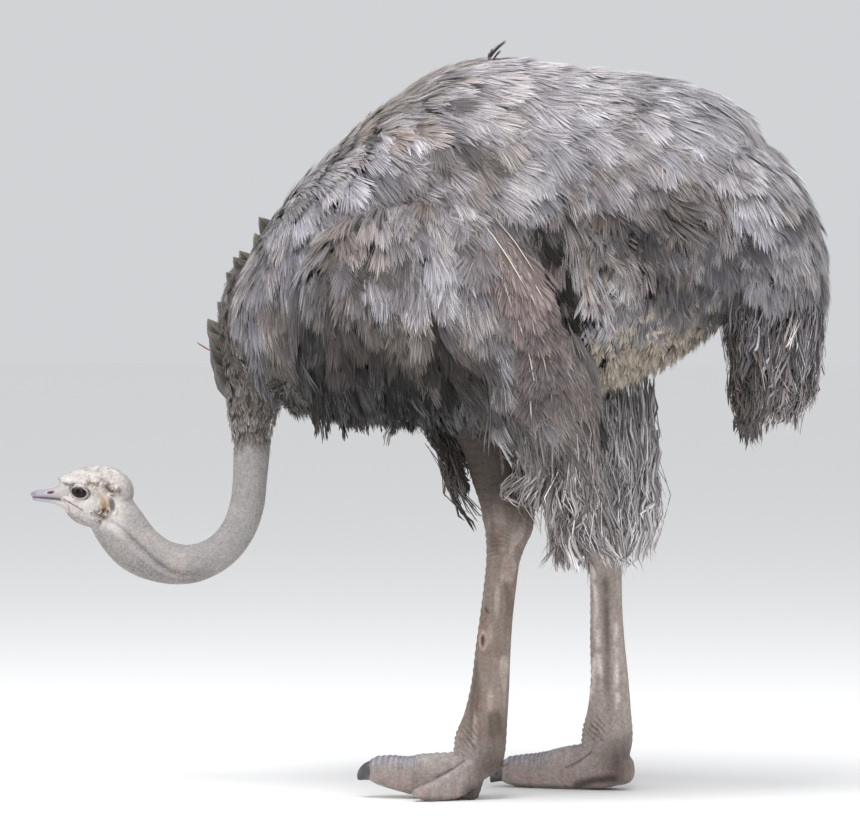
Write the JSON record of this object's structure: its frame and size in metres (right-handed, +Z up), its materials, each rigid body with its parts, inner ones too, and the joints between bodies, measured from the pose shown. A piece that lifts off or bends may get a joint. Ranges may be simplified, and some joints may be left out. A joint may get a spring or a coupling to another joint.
{
  "type": "ostrich",
  "caption": "Life-size ostrich hen standing with her neck hung down and her head held forward, in full grey plumage.",
  "frame": {"origin": "on the floor, under the middle of the bird's overall length and width", "axes": "+Z up, -Y the way the bird faces, +X to its left"},
  "size_m": [0.606, 1.4542, 1.3461],
  "materials": {
    "plumage": "soft loose feathers",
    "dark_plumage": "soft loose feathers",
    "neck_down": "short down over skin",
    "leg_skin": "scaled, satin",
    "bill_horn": "worn horn, satin",
    "claw_horn": "worn horn, satin",
    "eye": "wet, glossy"
  },
  "bodies": {
    "root": {"trunk": "plumage", "tail": "plumage", "wing_left": "plumage", "wing_right": "plumage", "wing_plumes_left": "dark_plumage", "wing_plumes_right": "dark_plumage", "neck_base": "dark_plumage", "neck_middle": "neck_down", "neck_upper": "neck_down", "head": "neck_down", "ear_left": "dark_plumage", "ear_right": "dark_plumage", "eye_left": "eye", "eye_right": "eye", "bill_upper": "bill_horn", "bill_lower": "bill_horn", "drumstick_left": "leg_skin", "drumstick_right": "leg_skin", "shank_left": "leg_skin", "shank_right": "leg_skin", "long_toe_left": "leg_skin", "long_toe_right": "leg_skin", "short_toe_left": "leg_skin", "short_toe_right": "leg_skin", "claw_left": "claw_horn", "claw_right": "claw_horn"}
  },
  "joints": []
}
